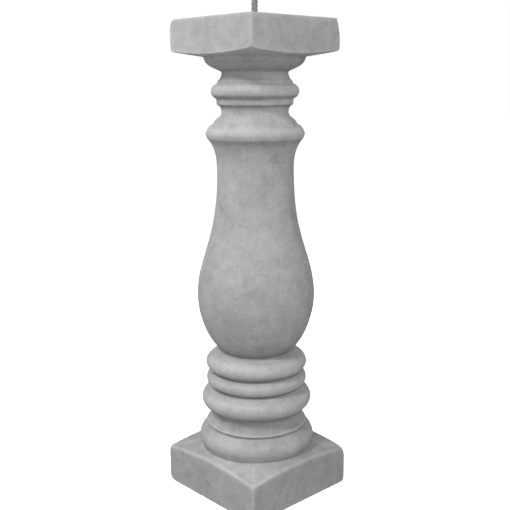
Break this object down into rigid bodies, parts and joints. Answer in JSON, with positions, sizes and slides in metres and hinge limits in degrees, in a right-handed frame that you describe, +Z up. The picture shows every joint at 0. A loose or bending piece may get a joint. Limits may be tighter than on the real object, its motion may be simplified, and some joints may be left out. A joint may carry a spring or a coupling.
{
  "type": "stone baluster",
  "caption": "Turned vase baluster cast in cement, with a square plinth and abacus and a steel bar end standing out of its top.",
  "frame": {"origin": "middle of the plinth's underside", "axes": "+Z up along the turned axis to the bar's end; X and Y are square to the sides of the plinth and the abacus"},
  "size_m": [0.167, 0.167, 0.645],
  "materials": {
    "cement": "bare cast cement, fine grained, with small pinholes",
    "bar_steel": "ribbed reinforcing bar, dull, with a little rust"
  },
  "bodies": {
    "root": {"baluster": "cement", "steel_bar": "bar_steel"}
  },
  "joints": []
}
